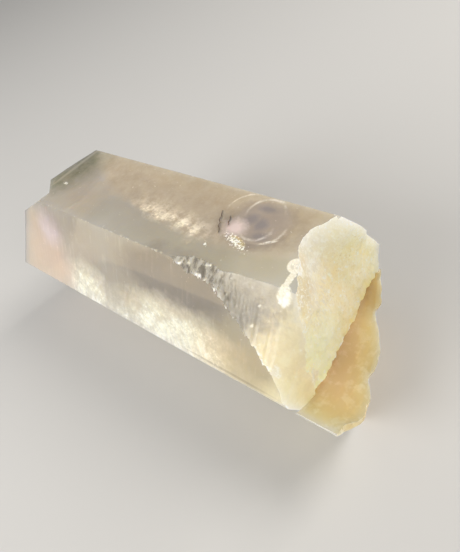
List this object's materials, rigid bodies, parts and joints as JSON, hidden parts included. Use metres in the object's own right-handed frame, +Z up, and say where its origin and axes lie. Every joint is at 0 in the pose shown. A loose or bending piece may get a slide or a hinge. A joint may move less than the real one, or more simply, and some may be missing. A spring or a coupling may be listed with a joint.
{
  "type": "quartz crystal",
  "caption": "Stubby six-sided quartz crystal lying on a prism face: cloudy, pale honey colour, broken at both ends, with a frosted break and a smooth amber ledge.",
  "frame": {"origin": "centre of the bounding box at the level of the flat prism face that the crystal rests on", "axes": "+X along the crystal, from the far broken end to the near end with the ledge; +Z up, square to the face it rests on; -Y faces the viewer"},
  "size_m": [0.0958, 0.0404, 0.0337],
  "materials": {
    "quartz": "cloudy see-through quartz, pale honey, with glossy prism faces and frosted breaks"
  },
  "bodies": {
    "root": {"quartz_crystal": "quartz"}
  },
  "joints": []
}
